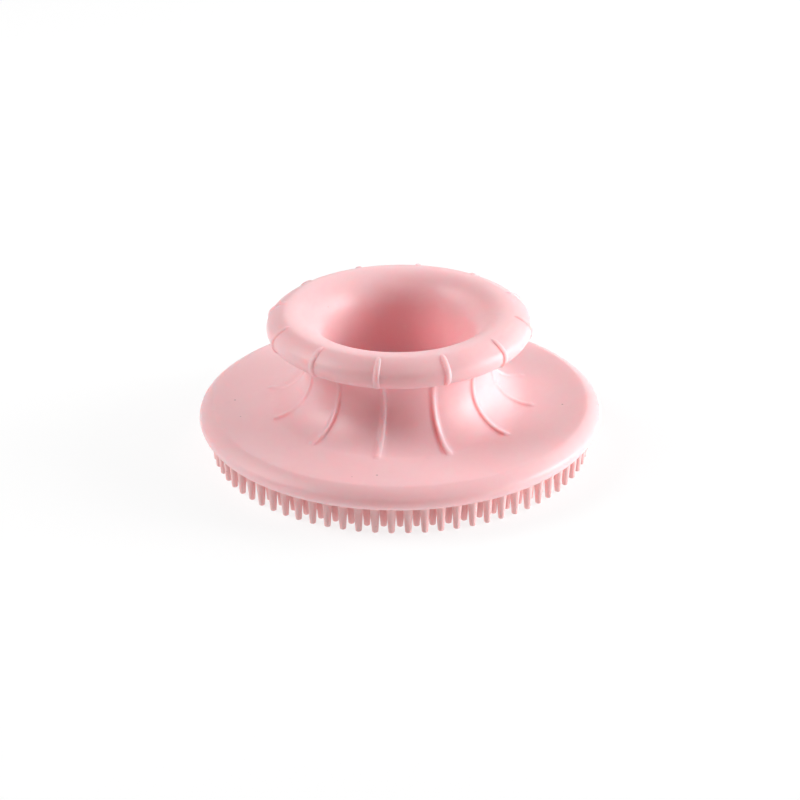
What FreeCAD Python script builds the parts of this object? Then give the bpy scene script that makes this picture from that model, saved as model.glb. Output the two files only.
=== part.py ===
"""Hand-held facial cleansing brush, moulded in one piece from soft silicone.

A flat scrub disc carries rings of short tapered bristles underneath. A hollow trumpet
neck rises from its top and rolls outwards into a thick grip ring, and thin ribs run
down the ring and down the neck. The real brush is a single moulding. Here each of its
moulded regions is a solid of its own, and neighbours meet face to face.

Frame: +Z up along the axis, origin at the centre of the plane of the bristle tips.
Angles run from -Y towards +X. All sizes are in millimetres.
"""
import FreeCAD, Part
import math
import os
import Sketcher

doc = FreeCAD.newDocument("cleansing_brush")

# Driving dimensions: name, value, meaning.
DIMENSIONS = (
    ("disc_radius", 37.5, "largest radius, at the rim's widest line"),
    ("bristle_length", 5.1, "underside of the disc above the bristle tips"),
    ("disc_top", 9.2, "flat top of the disc"),
    ("plate_radius", 34.85, "edge of the flat top, where the rim starts to slope"),
    ("rim_height", 7.0, "height of the rim's widest line"),
    ("rim_shoulder", 5.944, "first, slow arc of the rim, which meets the flat top at a soft edge"),
    ("rim_turn", 47, "where it hands over to the second arc, round that one"),
    ("rim_nose", 1.2, "second, tight arc, down to the widest line"),
    ("rim_under", 1.912, "arc below the rim's widest line"),
    ("lip_radius", 35.8, "bottom edge of the rim"),
    ("flare_radius", 24.75, "where the neck's outside runs out onto the disc"),
    ("neck_arc", 7.7, "radius of the neck's outside arc"),
    ("neck_foot", 10.5, "height of the parting between disc and neck"),
    ("hollow_radius", 14.2, "finger hollow"),
    ("floor_top", 8.0, "floor of the finger hollow"),
    ("floor_radius", 16.0, "parting between that floor and the disc, under the neck's wall"),
    ("bell_arc", 6.07, "arc from the hollow over the grip ring's crest to its crease"),
    ("ring_outer", 24.4, "largest radius of the grip ring"),
    ("ring_widest", 24.1, "height of the ring's widest line"),
    ("crease_turn", 74, "where the ring's slow upper arc starts at the crease, round that arc"),
    ("band_arc", 6.5, "that slow arc"),
    ("band_turn", 46, "where it hands over to the tighter arc down to the widest line"),
    ("ring_brow", 1.9, "that tighter arc"),
    ("ring_lip", 2.2, "arc below the widest line"),
    ("ring_lip_end", -53.5, "where it hands over to the arc under the ring"),
    ("ring_under", 6.615, "arc under the grip ring"),
    ("ring_rib_angle", 2.7, "angle that one rib of the ring fills"),
    ("neck_rib_angle", 3.3, "angle that one rib of the neck fills"),
    ("rib_height", 0.35, "how far a rib stands out"),
    ("rib_count", 12, "ribs on the ring, and as many on the neck"),
    ("rib_phase", -9.75, "angle of the first rib"),
    ("ring_rib_end", -50, "where a ring rib ends, round the ring's lip"),
    ("neck_rib_top", 150, "where a neck rib starts, round the neck's arc"),
    ("neck_rib_end", 270, "where it ends, round the neck's arc"),
    ("row_count", 15, "rings of bristles round the one in the centre"),
    ("row_radius", 34.8, "radius of the outermost bristle row"),
    ("row_spacing", 2.29, "from one bristle row to the next"),
    ("row_phase", -0.38, "angle that the even rows start from, and the odd rows straddle"),
    ("bristle_pitch", 2.875, "from one bristle to the next along a row"),
    ("bristle_root", 0.9, "bristle radius at the disc"),
    ("bristle_tip", 0.55, "bristle radius at the tip"),
)

sheet = doc.addObject("Spreadsheet::Sheet", "dims")
for line, (alias, value, meaning) in enumerate(DIMENSIONS, 1):
    sheet.set(f"A{line}", alias)
    sheet.set(f"B{line}", str(value))
    sheet.set(f"C{line}", meaning)
    sheet.setAlias(f"B{line}", alias)
doc.recompute()


def size(alias):
    """The number in the sheet's cell of that name."""
    return float(getattr(sheet, alias))


def on_arc(centre, radius, angle):
    """The place at an angle on an arc, as expressions. Angles run from +X towards +Z, in degrees."""
    out, up = f"{radius} * cos({angle} * 1deg)", f"{radius} * sin({angle} * 1deg)"
    return (f"({centre[0]} + {out})", f"({centre[1]} + {up})")


# Places that several regions share, as expressions on the sheet.
LIP_CENTRE = ("(dims.ring_outer - dims.ring_lip)", "dims.ring_widest")
BROW_CENTRE = ("(dims.ring_outer - dims.ring_brow)", "dims.ring_widest")
BAND_CENTRE = on_arc(BROW_CENTRE, "(dims.ring_brow - dims.band_arc)", "dims.band_turn")
CREASE = on_arc(BAND_CENTRE, "dims.band_arc", "dims.crease_turn")
CREASE_IN = f"({CREASE[0]} - dims.hollow_radius - dims.bell_arc)"
NECK_TOP = f"({CREASE[1]} - sqrt(dims.bell_arc ^ 2 - {CREASE_IN} ^ 2))"
ARC_HEIGHT = "(dims.disc_top + dims.neck_arc)"


def neck_outside(height):
    """Expression for the neck's outside radius at a height, on its circular arc."""
    return f"(dims.flare_radius - sqrt(dims.neck_arc ^ 2 - ({ARC_HEIGHT} - {height}) ^ 2))"


class Outline:
    """A closed outline of lines and arcs in the body's XZ plane, with x the radius and y the height."""

    def __init__(self, body, name):
        self.sketch = body.newObject("Sketcher::SketchObject", name)
        plane = next(f for f in body.Origin.OriginFeatures if f.Role == "XZ_Plane")
        self.sketch.AttachmentSupport = [(plane, "")]
        self.sketch.MapMode = "FlatFace"
        self.ends = []

    def value(self, expression):
        return float(self.sketch.evalExpression(expression))

    def point(self, place):
        return FreeCAD.Vector(self.value(place[0]), self.value(place[1]), 0)

    def bind(self, kind, where, expression):
        """A dimension that follows an expression on the sheet."""
        index = self.sketch.addConstraint(Sketcher.Constraint(kind, *where, self.value(expression)))
        self.sketch.setExpression(f"Constraints[{index}]", expression)

    def pin(self, end, place):
        """Holds one end of an edge at a radius and a height."""
        self.bind("DistanceX", (-1, 1, *end), place[0])
        self.bind("DistanceY", (-1, 1, *end), place[1])

    def line(self, start, end):
        edge = Part.LineSegment(self.point(start), self.point(end))
        index = self.sketch.addGeometry(edge, False)
        self.ends.append(((index, 1), (index, 2)))

    def arc(self, start, end, radius, clockwise=True):
        """An arc shorter than half a turn from start to end, on the given side of its chord."""
        first, last, bend = self.point(start), self.point(end), self.value(radius)
        chord = last - first
        side = FreeCAD.Vector(-chord.y, chord.x, 0).normalize() * (-1 if clockwise else 1)
        centre = (first + last) * 0.5 + side * math.sqrt(bend**2 - (chord.Length / 2) ** 2)
        circle = Part.Circle(centre, FreeCAD.Vector(0, 0, 1), bend)
        turned = [math.atan2(p.y - centre.y, p.x - centre.x) for p in (first, last)]
        if clockwise:
            turned.reverse()
        index = self.sketch.addGeometry(Part.ArcOfCircle(circle, *turned), False)
        self.bind("Radius", (index,), radius)
        self.ends.append(((index, 2), (index, 1)) if clockwise else ((index, 1), (index, 2)))

    def close(self, places):
        """Joins the edges in a ring and pins where each one starts."""
        for i, place in enumerate(places):
            before, after = self.ends[i - 1][1], self.ends[i][0]
            self.sketch.addConstraint(Sketcher.Constraint("Coincident", *before, *after))
            self.pin(after, place)


def new_body(name):
    body = doc.addObject("PartDesign::Body", name)
    body.Label = name
    return body


def revolve(body, sketch, angle=None):
    """Turns an outline about the body's Z axis: all the way round, or over an angle centred on it."""
    turn = body.newObject("PartDesign::Revolution", f"{body.Name}_turn")
    turn.Profile = sketch
    turn.ReferenceAxis = (sketch, ["V_Axis"])
    turn.Angle = 360
    if angle:
        turn.Midplane = True
        turn.setExpression("Angle", angle)
    body.Tip = turn
    return body


def ring_side(lift, end):
    """Outside of the ring, raised by a lift, from its crease to an angle on its lip: places and arcs."""
    radii = ("dims.band_arc", "dims.ring_brow", "dims.ring_lip")
    band, brow, lip = (f"({radius} + {lift})" for radius in radii)
    places = [
        on_arc(BAND_CENTRE, band, "dims.crease_turn"),
        on_arc(BAND_CENTRE, band, "dims.band_turn"),
        on_arc(LIP_CENTRE, lip, "0"),
        on_arc(LIP_CENTRE, lip, end),
    ]
    return places, [band, brow, lip]


def grip_ring():
    """The rolled ring: from the hollow over the crest to a crease, down its outside, and back under it."""
    body = new_body("grip_ring")
    shape = Outline(body, "ring_outline")
    hollow = ("dims.hollow_radius", NECK_TOP)
    side, arcs = ring_side("0", "dims.ring_lip_end")
    joint = (neck_outside(NECK_TOP), NECK_TOP)
    shape.arc(hollow, side[0], "dims.bell_arc")
    for start, end, bend in zip(side, side[1:], arcs):
        shape.arc(start, end, bend)
    shape.arc(side[-1], joint, "dims.ring_under")
    shape.line(joint, hollow)
    shape.close([hollow, *side, joint])
    return revolve(body, shape.sketch)


def neck_wall():
    """The hollow neck: a straight bore inside and one concave arc outside."""
    body = new_body("neck_wall")
    shape = Outline(body, "neck_outline")
    places = (
        ("dims.hollow_radius", "dims.neck_foot"),
        ("dims.hollow_radius", NECK_TOP),
        (neck_outside(NECK_TOP), NECK_TOP),
        (neck_outside("dims.neck_foot"), "dims.neck_foot"),
    )
    shape.line(places[0], places[1])
    shape.line(places[1], places[2])
    shape.arc(places[2], places[3], "dims.neck_arc", clockwise=False)
    shape.line(places[3], places[0])
    shape.close(places)
    return revolve(body, shape.sketch)


def scrub_disc():
    """The plate under the neck, with the root of the neck's flare on its top."""
    body = new_body("scrub_disc")
    shape = Outline(body, "disc_outline")
    places = (
        ("dims.floor_radius", "dims.bristle_length"),
        ("dims.floor_radius", "dims.floor_top"),
        ("dims.hollow_radius", "dims.floor_top"),
        ("dims.hollow_radius", "dims.neck_foot"),
        (neck_outside("dims.neck_foot"), "dims.neck_foot"),
        ("dims.flare_radius", "dims.disc_top"),
        ("dims.plate_radius", "dims.disc_top"),
        ("dims.plate_radius", "dims.bristle_length"),
    )
    flare = 4
    for start, place in enumerate(places):
        end = places[(start + 1) % len(places)]
        if start == flare:
            shape.arc(place, end, "dims.neck_arc", clockwise=False)
        else:
            shape.line(place, end)
    shape.close(places)
    return revolve(body, shape.sketch)


def disc_rim():
    """The rim: a slow arc and a tight one, from the edge of the flat top down, and under to its lip."""
    body = new_body("disc_rim")
    shape = Outline(body, "rim_outline")
    inside_top = ("dims.plate_radius", "dims.disc_top")
    nose_centre = ("(dims.disc_radius - dims.rim_nose)", "dims.rim_height")
    shoulder_end = on_arc(nose_centre, "dims.rim_nose", "dims.rim_turn")
    widest = ("dims.disc_radius", "dims.rim_height")
    lip = ("dims.lip_radius", "dims.bristle_length")
    inside_bottom = ("dims.plate_radius", "dims.bristle_length")
    shape.arc(inside_top, shoulder_end, "dims.rim_shoulder")
    shape.arc(shoulder_end, widest, "dims.rim_nose")
    shape.arc(widest, lip, "dims.rim_under")
    shape.line(lip, inside_bottom)
    shape.line(inside_bottom, inside_top)
    shape.close((inside_top, shoulder_end, widest, lip, inside_bottom))
    return revolve(body, shape.sketch)


def cup_floor():
    """The floor that closes the bottom of the finger hollow, and carries the foot of its wall."""
    floor = doc.addObject("Part::Cylinder", "cup_floor")
    floor.Label = "cup_floor"
    floor.setExpression("Radius", "dims.floor_radius")
    floor.setExpression("Height", "dims.floor_top - dims.bristle_length")
    floor.setExpression(".Placement.Base.z", "dims.bristle_length")
    return floor


def turned_to(body, angle):
    """Turns a region made at +X to an angle counted from -Y towards +X."""
    turn = FreeCAD.Rotation(FreeCAD.Vector(0, 0, 1), angle - 90)
    body.Placement = FreeCAD.Placement(FreeCAD.Vector(), turn)
    return body


def rib_angle(number):
    return size("rib_phase") + 360 / size("rib_count") * number


def ring_rib(number):
    """A bead over the outside of the grip ring, from its crease round its lip."""
    body = new_body(f"ring_rib_{number + 1:02d}")
    shape = Outline(body, f"ring_rib_outline_{number + 1:02d}")
    high, high_arcs = ring_side("dims.rib_height", "dims.ring_rib_end")
    low, low_arcs = ring_side("0", "dims.ring_rib_end")
    low.reverse()
    low_arcs.reverse()
    for start, end, bend in zip(high, high[1:], high_arcs):
        shape.arc(start, end, bend)
    shape.line(high[-1], low[0])
    for start, end, bend in zip(low, low[1:], low_arcs):
        shape.arc(start, end, bend, clockwise=False)
    shape.line(low[-1], high[0])
    shape.close([*high, *low])
    return turned_to(revolve(body, shape.sketch, "dims.ring_rib_angle"), rib_angle(number))


def neck_rib(number):
    """A bead down the outside of the neck, from under the ring out onto the disc."""
    body = new_body(f"neck_rib_{number + 1:02d}")
    shape = Outline(body, f"neck_rib_outline_{number + 1:02d}")
    centre = ("dims.flare_radius", ARC_HEIGHT)
    inner = "(dims.neck_arc - dims.rib_height)"
    places = (
        on_arc(centre, "dims.neck_arc", "dims.neck_rib_top"),
        on_arc(centre, "dims.neck_arc", "dims.neck_rib_end"),
        on_arc(centre, inner, "dims.neck_rib_end"),
        on_arc(centre, inner, "dims.neck_rib_top"),
    )
    shape.arc(places[0], places[1], "dims.neck_arc", clockwise=False)
    shape.line(places[1], places[2])
    shape.arc(places[2], places[3], inner)
    shape.line(places[3], places[0])
    shape.close(places)
    return turned_to(revolve(body, shape.sketch, "dims.neck_rib_angle"), rib_angle(number))


def bristle_row(row):
    """One ring of equally spaced bristles. Odd rows sit half a pitch round from even ones."""
    body = new_body(f"bristle_row_{row:02d}")
    body.AllowCompound = True
    radius = size("row_radius") - size("row_spacing") * (row - 1)
    count = round(2 * math.pi * radius / size("bristle_pitch"))
    bristle = body.newObject("PartDesign::AdditiveCone", f"bristle_{row:02d}")
    bristle.setExpression("Radius1", "dims.bristle_tip")
    bristle.setExpression("Radius2", "dims.bristle_root")
    bristle.setExpression("Height", "dims.bristle_length")
    bristle.setExpression(".Placement.Base.x", f"dims.row_radius - dims.row_spacing * {row - 1}")
    doc.recompute()
    ring = body.newObject("PartDesign::PolarPattern", f"bristle_ring_{row:02d}")
    ring.Originals = [bristle]
    ring.Axis = (next(f for f in body.Origin.OriginFeatures if f.Role == "Z_Axis"), [""])
    ring.Angle = 360
    ring.Occurrences = count
    body.Tip = ring
    return turned_to(body, size("row_phase") + 360 / count * (row % 2) / 2)


def centre_bristle():
    """The one bristle on the axis."""
    bristle = doc.addObject("Part::Cone", "centre_bristle")
    bristle.Label = "centre_bristle"
    bristle.setExpression("Radius1", "dims.bristle_tip")
    bristle.setExpression("Radius2", "dims.bristle_root")
    bristle.setExpression("Height", "dims.bristle_length")
    return bristle


def main():
    bodies = [grip_ring(), neck_wall(), scrub_disc(), disc_rim(), cup_floor()]
    bodies += [ring_rib(number) for number in range(int(size("rib_count")))]
    bodies += [neck_rib(number) for number in range(int(size("rib_count")))]
    bodies += [bristle_row(row) for row in range(1, int(size("row_count")) + 1)]
    bodies.append(centre_bristle())
    doc.recompute()
    return bodies


parts = main()
for item in doc.Objects:
    if {"Invalid", "Error"} & set(item.State):
        raise RuntimeError(f"{item.Name} failed: {item.State}")
os.makedirs("parts", exist_ok=True)
for part in parts:
    if part.Shape.isNull() or not part.Shape.isValid():
        raise RuntimeError(f"{part.Label} has no valid shape")
    part.Shape.exportStep(f"parts/{part.Label}.step")
    print(f"{part.Label}: {part.Shape.Volume:.1f} mm3")
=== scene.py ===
"""Looks of a silicone facial cleansing brush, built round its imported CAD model.

The brush is one moulding, so its disc, neck, grip ring and ribs are one closed skin here. The
skin is an outline turned about the axis, with the ribs raised out of it. Each ring of bristles
is a mesh of its own.

Frame: +Z up along the axis, the bristle tips in the plane Z = 0. Angles round the axis run
from -Y towards +X. The brush's own sizes are in millimetres until a mesh is made, and those of
its materials and the studio are in metres.
"""

import math

import bpy
import numpy as np
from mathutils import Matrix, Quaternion, Vector


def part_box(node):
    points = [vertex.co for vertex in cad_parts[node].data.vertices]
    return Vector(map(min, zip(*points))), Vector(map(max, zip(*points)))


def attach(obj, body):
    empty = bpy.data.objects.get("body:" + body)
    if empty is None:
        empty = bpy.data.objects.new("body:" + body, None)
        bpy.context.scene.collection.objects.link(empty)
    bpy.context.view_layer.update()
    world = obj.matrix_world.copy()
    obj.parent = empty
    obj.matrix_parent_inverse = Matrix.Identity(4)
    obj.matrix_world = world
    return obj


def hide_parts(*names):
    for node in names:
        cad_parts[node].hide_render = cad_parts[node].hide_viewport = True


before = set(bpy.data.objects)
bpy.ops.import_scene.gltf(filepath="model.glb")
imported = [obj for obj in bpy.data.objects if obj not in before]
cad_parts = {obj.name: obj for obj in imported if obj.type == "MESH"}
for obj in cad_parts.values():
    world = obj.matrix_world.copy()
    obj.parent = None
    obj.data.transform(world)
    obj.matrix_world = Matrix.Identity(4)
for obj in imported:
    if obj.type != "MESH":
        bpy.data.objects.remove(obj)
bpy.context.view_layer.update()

MM = 0.001


def edge(node, end, axis):
    """One coordinate of a CAD node's box, in millimetres. end is 0 for low and 1 for high."""
    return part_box(node)[end][axis] / MM


# Heights and radii that the CAD nodes give.
DISC_RADIUS = edge("disc_rim", 1, 0)
DISC_TOP = edge("disc_rim", 1, 2)
PLATE_RADIUS = edge("scrub_disc", 1, 0)
UNDERSIDE = edge("scrub_disc", 0, 2)
FLOOR_TOP = edge("cup_floor", 1, 2)
NECK_TOP = edge("neck_wall", 1, 2)
RING_OUTER = edge("grip_ring", 1, 0)
BELL_ARC = edge("grip_ring", 1, 2) - NECK_TOP

# The rest of the outline, as in the CAD.
HOLLOW_RADIUS = 14.2
CREASE_TURN = 74
BAND_ARC = 6.5
BAND_TURN = 46
RING_BROW = 1.9
RING_WIDEST = 24.1
RING_LIP = 2.2
RING_LIP_END = -53.5
RING_UNDER = 6.615
NECK_ARC = 7.7
FLARE_RADIUS = 24.75
RIM_HEIGHT = 7.0
RIM_SHOULDER = 5.944
RIM_NOSE = 1.2
RIM_TURN = 47
RIM_UNDER = 1.912

# Corners that the moulding rounds off: how far each curve reaches from its corner.
FLOOR_REACH = 3.0
THROAT_REACH = 0.9
CREASE_REACH = 0.12
RIM_REACH = 0.12

# Ribs. Starts and ends are angles on the bend that each rib lies on, from outwards towards up. Half
# widths are angles round the axis. A fade is how far a rib takes to rise from its start, as a power
# of the share passed, and there it is never narrower than a small share of its width. A rib with a
# lower crown has a flatter top and steeper flanks.
RIB_COUNT = 12
RIB_PHASE = -9.75
RING_RIB_HEIGHT = 0.3
RING_RIB_FADE = 1.0
RING_RIB_END = -50
RING_RIB_HALF = 1.35
RING_RIB_CROWN = 0.55
NECK_RIB_HEIGHT = 0.28
NECK_RIB_FADE = 0.4
NECK_RIB_START = 152
NECK_RIB_END = 268
NECK_RIB_HALF = 1.65
NECK_RIB_CROWN = 0.85
FADE_POWER = 0.7
NARROWEST = 0.05

# The skin's columns: degrees aside from a rib's middle, and how many steps lie between two ribs.
RIB_COLUMNS = (0, 0.22, 0.44, 0.64, 0.8, 0.93, 1.03, 1.12, 1.2, 1.28, 1.36, 1.5, 1.75)
GAP_STEPS = 14

# Spacing of points along the outline: on flats, on broad bends and where ribs stand.
COARSE, MEDIUM, FINE = 1.2, 0.5, 0.25

# Bristle rows, 1 outermost. Root and tip are radii. Each bristle's root is sunk into the disc.
ROW_COUNT = sum(name.startswith("bristle_row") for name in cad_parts)
ROW_RADIUS = 34.8
ROW_SPACING = 2.29
ROW_PHASE = -0.38
BRISTLE_PITCH = 2.875
BRISTLE_ROOT = 0.9
BRISTLE_TIP = 0.55
TIP_ROUND = 0.16
ROOT_FILLET = 0.1
BRISTLE_EMBED = 0.3
BRISTLE_LEAN = 0.06
BRISTLE_SIDES = 16
FILLET_POINTS = 4
SHAFT_POINTS = 5
LEAN_SEED = 7


def arc(centre, radius, start, end, spacing):
    """Points on an arc from one angle to another, in degrees, both ends included."""
    steps = max(2, math.ceil(abs(math.radians(end - start)) * radius / spacing))
    angles = np.radians(np.linspace(start, end, steps + 1))
    return np.stack([centre[0] + radius * np.cos(angles), centre[1] + radius * np.sin(angles)], 1)


def on_bend(centre, radius, angle):
    """The place at an angle on a bend."""
    return arc(centre, radius, angle, angle, FINE)[0]


def line(start, end, spacing):
    """Points from one place to another, both included."""
    steps = max(1, math.ceil(math.dist(start, end) / spacing))
    share = np.linspace(0, 1, steps + 1)[:, None]
    return np.array(start) * (1 - share) + np.array(end) * share


def bearing(centre, place):
    """Angle in degrees at which a place is seen from a centre."""
    return math.degrees(math.atan2(place[1] - centre[1], place[0] - centre[0]))


def bend_centre(start, end, radius):
    """Centre of the arc of that radius that passes clockwise through two places."""
    first, last = Vector(start), Vector(end)
    chord = last - first
    right = Vector((chord.y, -chord.x)).normalized()
    return (first + last) / 2 + right * math.sqrt(radius**2 - (chord.length / 2) ** 2)


def round_corner(before, after, reach, spacing):
    """Two runs that meet in a corner become three, with a smooth curve in the corner's place."""
    tip = before[-1]
    before = before[np.linalg.norm(before - tip, axis=1) > reach]
    after = after[np.linalg.norm(after - tip, axis=1) > reach]
    steps = max(4, math.ceil(2 * reach / spacing))
    share = np.linspace(0, 1, steps + 1)[1:-1, None]
    curve = (1 - share) ** 2 * before[-1] + 2 * share * (1 - share) * tip + share**2 * after[0]
    return [before, curve, after]


# Centres of the ring's and the neck's bends, and the crease round the top of the ring.
BELL_CENTRE = (HOLLOW_RADIUS + BELL_ARC, NECK_TOP)
LIP_CENTRE = (RING_OUTER - RING_LIP, RING_WIDEST)
BROW_CENTRE = (RING_OUTER - RING_BROW, RING_WIDEST)
BAND_CENTRE = on_bend(BROW_CENTRE, RING_BROW - BAND_ARC, BAND_TURN)
NECK_CENTRE = (FLARE_RADIUS, DISC_TOP + NECK_ARC)
CREASE = on_bend(BAND_CENTRE, BAND_ARC, CREASE_TURN)


def ring_outline():
    """From the top of the hollow's wall over the crest, round the outside and under to the neck."""
    bell = arc(BELL_CENTRE, BELL_ARC, 180, bearing(BELL_CENTRE, CREASE), FINE)
    band = arc(BAND_CENTRE, BAND_ARC, CREASE_TURN, BAND_TURN, FINE)
    brow = arc(BROW_CENTRE, RING_BROW, BAND_TURN, 0, FINE)
    lip = arc(LIP_CENTRE, RING_LIP, 0, RING_LIP_END, FINE)
    throat = (FLARE_RADIUS - math.sqrt(NECK_ARC**2 - (NECK_CENTRE[1] - NECK_TOP) ** 2), NECK_TOP)
    centre = bend_centre(lip[-1], throat, RING_UNDER)
    under = arc(centre, RING_UNDER, bearing(centre, lip[-1]), bearing(centre, throat), FINE)
    bell, crease, band = round_corner(bell, band, CREASE_REACH, CREASE_REACH / 2)
    return np.concatenate([bell[1:], crease, band, brow[1:], lip[1:], under[1:]])


def rim_outline():
    """From the flat top's edge down a slow arc and a tight one to the widest line, and under."""
    edge_top = (PLATE_RADIUS, DISC_TOP)
    nose_centre = (DISC_RADIUS - RIM_NOSE, RIM_HEIGHT)
    handover = on_bend(nose_centre, RIM_NOSE, RIM_TURN)
    centre = bend_centre(edge_top, handover, RIM_SHOULDER)
    under_end = -math.degrees(math.asin((RIM_HEIGHT - UNDERSIDE) / RIM_UNDER))
    return np.concatenate([
        arc(centre, RIM_SHOULDER, bearing(centre, edge_top), bearing(centre, handover), FINE),
        arc(nose_centre, RIM_NOSE, RIM_TURN, 0, FINE)[1:],
        arc((DISC_RADIUS - RIM_UNDER, RIM_HEIGHT), RIM_UNDER, 0, under_end, FINE)[1:],
    ])


def outline():
    """The outline, from the middle of the hollow's floor round to the middle of the underside."""
    floor = line((0, FLOOR_TOP), (HOLLOW_RADIUS, FLOOR_TOP), COARSE)
    wall = line((HOLLOW_RADIUS, FLOOR_TOP), (HOLLOW_RADIUS, NECK_TOP), MEDIUM)
    ring = ring_outline()
    neck = arc(NECK_CENTRE, NECK_ARC, bearing(NECK_CENTRE, ring[-1]), 270, FINE)
    top = line((FLARE_RADIUS, DISC_TOP), (PLATE_RADIUS, DISC_TOP), MEDIUM)[1:]
    top, rim_edge, rim = round_corner(top, rim_outline(), RIM_REACH, RIM_REACH / 2)
    bottom = line(rim[-1], (0, UNDERSIDE), COARSE)[1:]
    floor, foot, wall = round_corner(floor, wall, FLOOR_REACH, MEDIUM)
    ring, throat, neck = round_corner(ring, neck, THROAT_REACH, FINE)
    return np.concatenate([floor, foot, wall, ring, throat, neck, top, rim_edge, rim, bottom])


class Ribs:
    """The ribs of one kind: where along the outline they run, and how high they stand."""

    def __init__(self, points, along, start, end, fade, half_angle, crown, tall):
        self.start, self.end = (
            along[np.argmin(np.linalg.norm(points - place, axis=1))] for place in (start, end)
        )
        self.fade = fade
        self.half_angle = math.radians(half_angle)
        self.crown = crown
        self.tall = tall

    def height(self, along, radius, aside):
        """Height of the rib at a distance along the outline and an angle aside from its middle."""
        half_width = radius * self.half_angle
        growth = np.clip((along - self.start) / self.fade, 0, 1)
        across = radius * np.abs(aside) / (half_width * np.sqrt(growth).clip(NARROWEST))
        past = np.clip(along - self.end, 0, None) / half_width
        section = np.clip(1 - across**2 - past**2, 0, None) ** self.crown
        return self.tall * growth**FADE_POWER * section


def rib_columns():
    """Each column as its rib's number and its degrees aside from that rib's middle."""
    last = RIB_COLUMNS[-1]
    gap = 360 / RIB_COUNT - 2 * last
    before = [-aside for aside in reversed(RIB_COLUMNS[1:])]
    between = [last + gap * step / GAP_STEPS for step in range(1, GAP_STEPS)]
    offsets = [*before, *RIB_COLUMNS, *between]
    return [(rib, offset) for rib in range(RIB_COUNT) for offset in offsets]


def skin_mesh():
    """The closed skin: the outline turned about the axis and raised outwards at the ribs."""
    points = outline()
    ahead = np.gradient(points, axis=0)
    ahead /= np.linalg.norm(ahead, axis=1)[:, None]
    facing = np.stack([-ahead[:, 1], ahead[:, 0]], 1)
    along = np.concatenate([[0], np.cumsum(np.linalg.norm(np.diff(points, axis=0), axis=1))])
    ring_end = on_bend(LIP_CENTRE, RING_LIP, RING_RIB_END)
    neck_start = on_bend(NECK_CENTRE, NECK_ARC, NECK_RIB_START)
    neck_end = on_bend(NECK_CENTRE, NECK_ARC, NECK_RIB_END)
    ring_shape = (RING_RIB_FADE, RING_RIB_HALF, RING_RIB_CROWN, RING_RIB_HEIGHT)
    neck_shape = (NECK_RIB_FADE, NECK_RIB_HALF, NECK_RIB_CROWN, NECK_RIB_HEIGHT)
    kinds = [
        Ribs(points, along, CREASE, ring_end, *ring_shape),
        Ribs(points, along, neck_start, neck_end, *neck_shape),
    ]
    step = 360 / RIB_COUNT
    columns = rib_columns()
    turned = np.radians([RIB_PHASE + step * rib + offset for rib, offset in columns])
    nearest = [offset if offset < step / 2 else offset - step for _, offset in columns]
    aside = np.radians(nearest)

    inner = slice(1, -1)
    radius = points[inner, 0][:, None]
    distance = along[inner][:, None]
    raised = sum(kind.height(distance, radius, aside[None, :]) for kind in kinds)
    out = radius + facing[inner, 0][:, None] * raised
    up = points[inner, 1][:, None] + facing[inner, 1][:, None] * raised
    grid = np.stack([out * np.sin(turned), -out * np.cos(turned), up], 2)
    rows, count = grid.shape[:2]
    poles = [[0, 0, points[0, 1]], [0, 0, points[-1, 1]]]
    return np.concatenate([grid.reshape(-1, 3), poles]), grid_faces(rows, count)


def grid_faces(rows, count):
    """Faces of a closed turned surface, all facing outwards: a fan, bands of quads and a fan.

    Its vertices are the rows one after another, then the pole before the first row and the pole
    after the last.
    """
    first_pole, last_pole = rows * count, rows * count + 1
    last_row = (rows - 1) * count
    faces = []
    for k in range(count):
        ahead = (k + 1) % count
        faces.append((first_pole, k, ahead))
        faces.append((last_pole, last_row + ahead, last_row + k))
        for row in range(rows - 1):
            low, high = row * count, (row + 1) * count
            faces.append((low + k, high + k, high + ahead, low + ahead))
    return faces


def new_piece(name, vertices, faces, material, slot, nodes):
    """Adds a smooth mesh, scaled to the frame's metres, that stands for some CAD nodes."""
    mesh = bpy.data.meshes.new(name)
    mesh.from_pydata((np.asarray(vertices) * MM).tolist(), [], faces)
    mesh.polygons.foreach_set("use_smooth", [True] * len(mesh.polygons))
    mesh.materials.append(material)
    mesh.update()
    piece = bpy.data.objects.new(name, mesh)
    bpy.context.scene.collection.objects.link(piece)
    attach(piece, "root")
    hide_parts(*nodes)


def bristle_outline():
    """One bristle from its root inside the disc to the middle of its rounded tip."""
    root = UNDERSIDE + BRISTLE_EMBED
    slope = (BRISTLE_ROOT - BRISTLE_TIP) / UNDERSIDE
    flared = [
        (BRISTLE_ROOT + ROOT_FILLET * (1 - share) ** 2, UNDERSIDE - 2 * ROOT_FILLET * share)
        for share in np.linspace(0, 1, FILLET_POINTS)
    ]
    heights = np.linspace(UNDERSIDE - 2 * ROOT_FILLET, TIP_ROUND, SHAFT_POINTS)[1:]
    sides = [(BRISTLE_TIP + slope * height, height) for height in heights]
    tip = arc((BRISTLE_TIP - TIP_ROUND, TIP_ROUND), TIP_ROUND, 0, -90, TIP_ROUND / 2)[1:]
    return np.array([(0, root), (flared[0][0], root), *flared, *sides, *tip, (0, 0)])


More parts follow.
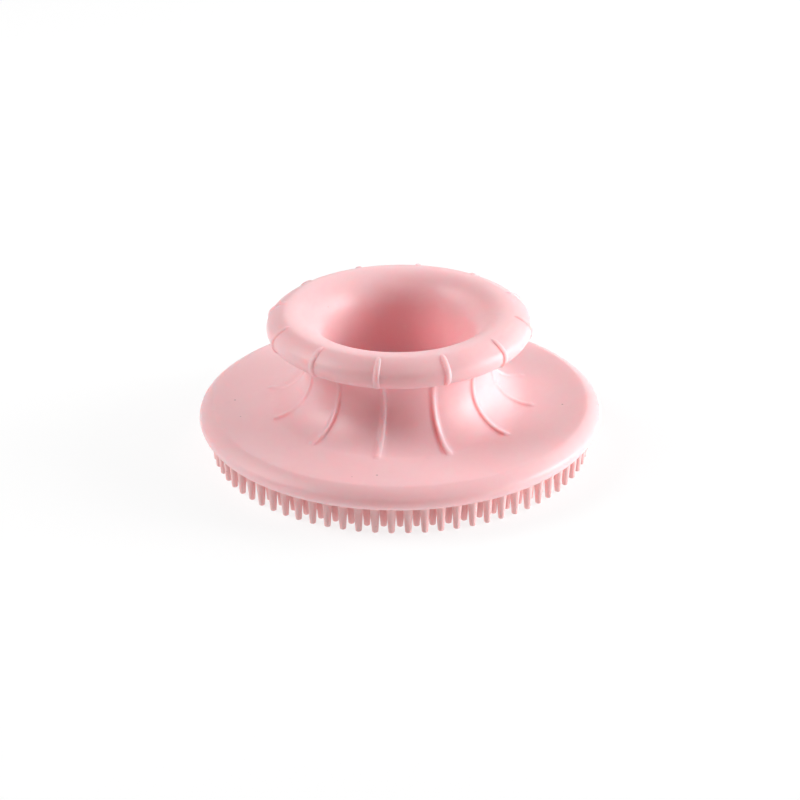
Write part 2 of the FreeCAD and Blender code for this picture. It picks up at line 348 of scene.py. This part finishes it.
def bristle_mesh(places, chance):
    """Bristles standing at some places, each a little askew."""
    shape = bristle_outline()
    angles = np.arange(BRISTLE_SIDES) * math.tau / BRISTLE_SIDES
    one = grid_faces(len(shape) - 2, BRISTLE_SIDES)
    vertices, faces = [], []
    for x, y in places:
        lean = chance.uniform(-BRISTLE_LEAN, BRISTLE_LEAN, 2)
        first = len(vertices)
        for radius, height in shape[1:-1]:
            middle_x, middle_y = (x, y) + lean * (1 - height / UNDERSIDE)
            for angle in angles:
                side, front = radius * math.sin(angle), radius * math.cos(angle)
                vertices.append((middle_x + side, middle_y - front, height))
        vertices.append((x, y, shape[0, 1]))
        vertices.append((x + lean[0], y + lean[1], 0))
        faces += [tuple(first + corner for corner in face) for face in one]
    return vertices, faces


def row_places(row):
    """Where the bristles of a row stand. Odd rows sit half a pitch round from even ones."""
    radius = ROW_RADIUS - ROW_SPACING * (row - 1)
    count = round(math.tau * radius / BRISTLE_PITCH)
    start = ROW_PHASE + 360 / count * (row % 2) / 2
    turned = np.radians(start + 360 / count * np.arange(count))
    return np.stack([radius * np.sin(turned), -radius * np.cos(turned)], 1)


class Nodes:
    """A material's node tree, with short ways to add and link nodes."""

    def __init__(self, name):
        self.material = bpy.data.materials.new(name)
        self.material.use_nodes = True
        self.tree = self.material.node_tree
        self.shader = self.tree.nodes["Principled BSDF"]

    def add(self, kind, inputs=None, **settings):
        node = self.tree.nodes.new(kind)
        for name, value in settings.items():
            setattr(node, name, value)
        for name, value in (inputs or {}).items():
            if isinstance(value, bpy.types.NodeSocket):
                self.tree.links.new(value, node.inputs[name])
            else:
                node.inputs[name].default_value = value
        return node

    def link(self, socket, name):
        self.tree.links.new(socket, self.shader.inputs[name])

    def mixed(self, share, first, second):
        """The colour that lies a share of the way from one colour or colour socket to another."""
        mix = self.add("ShaderNodeMix", data_type="RGBA")
        sockets = [socket for socket in mix.inputs if socket.enabled]
        for socket, value in zip(sockets, (share, first, second)):
            if isinstance(value, bpy.types.NodeSocket):
                self.tree.links.new(value, socket)
            else:
                socket.default_value = (*value, 1)
        return next(socket for socket in mix.outputs if socket.enabled)

    def scattered(self, place, scale, share, radius, soft):
        """1 in small round marks in a share of a Voronoi pattern's cells, and 0 elsewhere."""
        cells = self.add("ShaderNodeTexVoronoi", {"Vector": place, "Scale": scale, "Randomness": 1})
        chosen = self.add(
            "ShaderNodeMath", {0: cells.outputs["Color"], 1: 1 - share}, operation="GREATER_THAN"
        )
        near = self.add(
            "ShaderNodeMapRange",
            {"Value": cells.outputs["Distance"], "From Min": radius, "From Max": radius - soft},
        )
        both = self.add(
            "ShaderNodeMath",
            {0: chosen.outputs[0], 1: near.outputs["Result"]},
            operation="MULTIPLY",
        )
        return both.outputs[0]


# Silicone: its colour, the paler colour of its clouds, and how far red, green and blue light
# sink into it.
SKIN_COLOUR = (0.87, 0.565, 0.588)
SKIN_PALE = (0.89, 0.58, 0.603)
SKIN_DEPTHS = (0.0042, 0.0009, 0.00078)
# The bristles' two colours are the silicone's pink made redder and brighter: a painted glow of
# light shining through the thin bristles.
BRISTLE_COLOUR_WITH_GLOW = (0.95, 0.56, 0.555)
BRISTLE_PALE_WITH_GLOW = (0.96, 0.58, 0.575)
BRISTLE_DEPTHS = (0.00015, 0.0001, 0.0001)

# Marks on it: how strong each kind is, and its colour.
SMUDGE = (0.10, (0.55, 0.38, 0.42))
DUST = (0.75, (0.35, 0.22, 0.22))
LINT = (0.45, (0.98, 0.90, 0.90))
SMUDGE_DRIFT = 0.0015


def silicone(name, colour, pale, depths, dirt):
    """Soft satin silicone with faint clouds. Its marks' strengths are multiplied by dirt."""
    nodes = Nodes(name)
    place = nodes.add("ShaderNodeTexCoord").outputs["Object"]

    clouds = nodes.add(
        "ShaderNodeTexNoise", {"Vector": place, "Scale": 90, "Detail": 4, "Roughness": 0.6}
    )
    cloud_share = nodes.add(
        "ShaderNodeMapRange", {"Value": clouds.outputs["Fac"], "From Min": 0.3, "From Max": 0.7}
    )
    body = nodes.mixed(cloud_share.outputs["Result"], colour, pale)

    drift = nodes.add("ShaderNodeTexNoise", {"Vector": place, "Scale": 500, "Detail": 2})
    smeared = nodes.add(
        "ShaderNodeVectorMath",
        {0: drift.outputs["Color"], "Scale": SMUDGE_DRIFT},
        operation="SCALE",
    )
    moved = nodes.add(
        "ShaderNodeVectorMath", {0: place, 1: smeared.outputs["Vector"]}, operation="ADD"
    )
    smudges = nodes.scattered(moved.outputs["Vector"], scale=170, share=0.5, radius=0.16, soft=0.14)
    dust = nodes.scattered(place, scale=260, share=0.25, radius=0.06, soft=0.025)
    lint = nodes.scattered(place, scale=310, share=0.12, radius=0.05, soft=0.02)
    for share, (strength, tint) in ((smudges, SMUDGE), (dust, DUST), (lint, LINT)):
        amount = nodes.add("ShaderNodeMath", {0: share, 1: strength * dirt}, operation="MULTIPLY")
        body = nodes.mixed(amount.outputs[0], body, tint)
    nodes.link(body, "Base Color")

    satin = nodes.add("ShaderNodeTexNoise", {"Vector": place, "Scale": 400, "Detail": 3})
    gloss = nodes.add(
        "ShaderNodeMapRange", {"Value": satin.outputs["Fac"], "To Min": 0.36, "To Max": 0.47}
    )
    nodes.link(gloss.outputs["Result"], "Roughness")

    grain = nodes.add("ShaderNodeTexNoise", {"Vector": place, "Scale": 2600, "Detail": 2})
    waves = nodes.add("ShaderNodeTexNoise", {"Vector": place, "Scale": 260, "Detail": 2})
    soft = nodes.add(
        "ShaderNodeBump", {"Height": waves.outputs["Fac"], "Strength": 0.22, "Distance": 0.0001}
    )
    fine = nodes.add(
        "ShaderNodeBump",
        {
            "Height": grain.outputs["Fac"],
            "Strength": 0.2,
            "Distance": 0.00002,
            "Normal": soft.outputs["Normal"],
        },
    )
    nodes.link(fine.outputs["Normal"], "Normal")

    shader = nodes.shader.inputs
    shader["Subsurface Weight"].default_value = 1
    shader["Subsurface Radius"].default_value = depths
    shader["Subsurface Scale"].default_value = 1
    shader["IOR"].default_value = 1.43
    return nodes.material


def plain(name, colour, emission):
    """A matt surface that also gives off an even white light, for the studio floor."""
    nodes = Nodes(name)
    shader = nodes.shader.inputs
    shader["Base Color"].default_value = (*colour, 1)
    shader["Roughness"].default_value = 1
    shader["Specular IOR Level"].default_value = 0
    shader["Emission Color"].default_value = (1, 1, 1, 1)
    shader["Emission Strength"].default_value = emission
    return nodes.material


def build_brush():
    """The skin, the rows of bristles and the bristle on the axis."""
    skin = silicone("silicone", SKIN_COLOUR, SKIN_PALE, SKIN_DEPTHS, dirt=1)
    # The bristles' material has a painted glow of light shining through them in its redder,
    # brighter colour.
    bristles = silicone(
        "bristle_silicone", BRISTLE_COLOUR_WITH_GLOW, BRISTLE_PALE_WITH_GLOW, BRISTLE_DEPTHS, dirt=0.3
    )
    regions = ["grip_ring", "neck_wall", "scrub_disc", "disc_rim", "cup_floor"]
    ribs = sorted(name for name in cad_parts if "_rib_" in name)
    new_piece("brush_skin", *skin_mesh(), skin, "silicone", regions + ribs)
    chance = np.random.default_rng(LEAN_SEED)
    for row in range(1, ROW_COUNT + 1):
        mesh = bristle_mesh(row_places(row), chance)
        node = f"bristle_row_{row:02d}"
        new_piece(f"bristles_{row:02d}", *mesh, bristles, "bristle_silicone", [node])
    mesh = bristle_mesh([(0, 0)], chance)
    new_piece("bristle_centre", *mesh, bristles, "bristle_silicone", ["centre_bristle"])


# Camera: its distance in disc radii, the angle that it looks down at, the height on the axis that
# it looks at in the brush's millimetres, and its roll. Lens and sensor are in millimetres.
CAMERA_DISTANCE = 10
CAMERA_ELEVATION = 27.5
CAMERA_AIM = 8.4
CAMERA_ROLL = -0.57
LENS = 89.1
SENSOR = 36
NEAREST = 0.01


def add_camera():
    """The camera, in front of the brush and above it."""
    data = bpy.data.cameras.new("camera")
    data.lens = LENS
    data.sensor_width = SENSOR
    data.clip_start = NEAREST
    camera = bpy.data.objects.new("camera", data)
    distance = CAMERA_DISTANCE * DISC_RADIUS * MM
    lift = math.radians(CAMERA_ELEVATION)
    camera.location = (0, -distance * math.cos(lift), distance * math.sin(lift))
    aim = Vector((0, 0, CAMERA_AIM * MM)) - camera.location
    camera.rotation_mode = "QUATERNION"
    roll = Quaternion((0, 0, 1), math.radians(CAMERA_ROLL))
    camera.rotation_quaternion = aim.to_track_quat("-Z", "Y") @ roll
    bpy.context.scene.collection.objects.link(camera)
    bpy.context.scene.camera = camera


# Surround and floor. The floor lies a hair below the bristle tips.
SURROUND_LIGHT = 0.02
FLOOR_COLOUR = (0.2, 0.2, 0.2)
FLOOR_GLOW = 0.81
FLOOR_SIZE = 0.8
FLOOR_GAP = 0.0001

# Softboxes: bearing from the front towards the right, height angle, size in metres and watts.
SOFTBOX_DISTANCE = 0.6
SOFTBOXES = (
    ("key_right", 90, 9, 0.35, 3.3),
    ("right_high", 90, 24, 0.35, 2.2),
    ("right_back", 125, 28, 0.35, 0.75),
    ("fill_left", -90, 43, 0.35, 2.65),
    ("back_low", 180, 25, 0.35, 0.5),
    ("back_high", 180, 60, 0.35, 0.3),
)


def add_softbox(name, turned, raised, size, power):
    """A square area light that faces the brush."""
    data = bpy.data.lights.new(name, "AREA")
    data.size = size
    data.energy = power
    light = bpy.data.objects.new(name, data)
    across, up = math.radians(turned), math.radians(raised)
    level = math.cos(up)
    toward = Vector((math.sin(across) * level, -math.cos(across) * level, math.sin(up)))
    light.location = toward * SOFTBOX_DISTANCE
    light.rotation_mode = "QUATERNION"
    light.rotation_quaternion = toward.to_track_quat("Z", "Y")
    bpy.context.scene.collection.objects.link(light)


def surround():
    """A surround that shows white but lights the brush and the floor only a little."""
    world = bpy.data.worlds.new("studio")
    world.use_nodes = True
    nodes = world.node_tree.nodes
    path = nodes.new("ShaderNodeLightPath")
    strength = nodes.new("ShaderNodeMapRange")
    strength.inputs["To Min"].default_value = SURROUND_LIGHT
    strength.inputs["To Max"].default_value = 1
    nodes["Background"].inputs["Color"].default_value = (1, 1, 1, 1)
    world.node_tree.links.new(path.outputs["Is Camera Ray"], strength.inputs["Value"])
    world.node_tree.links.new(strength.outputs["Result"], nodes["Background"].inputs["Strength"])
    return world


def build_studio():
    """A plain pale floor and surround, and soft lights from the two sides and the back."""
    scene = bpy.context.scene
    scene.view_settings.view_transform = "Standard"
    scene.world = surround()
    bpy.ops.mesh.primitive_plane_add(size=FLOOR_SIZE, location=(0, 0, -FLOOR_GAP))
    floor = bpy.context.object
    floor.name = "floor"
    floor.data.materials.append(plain("floor", FLOOR_COLOUR, FLOOR_GLOW))
    for softbox in SOFTBOXES:
        add_softbox(*softbox)


build_brush()
build_studio()
add_camera()
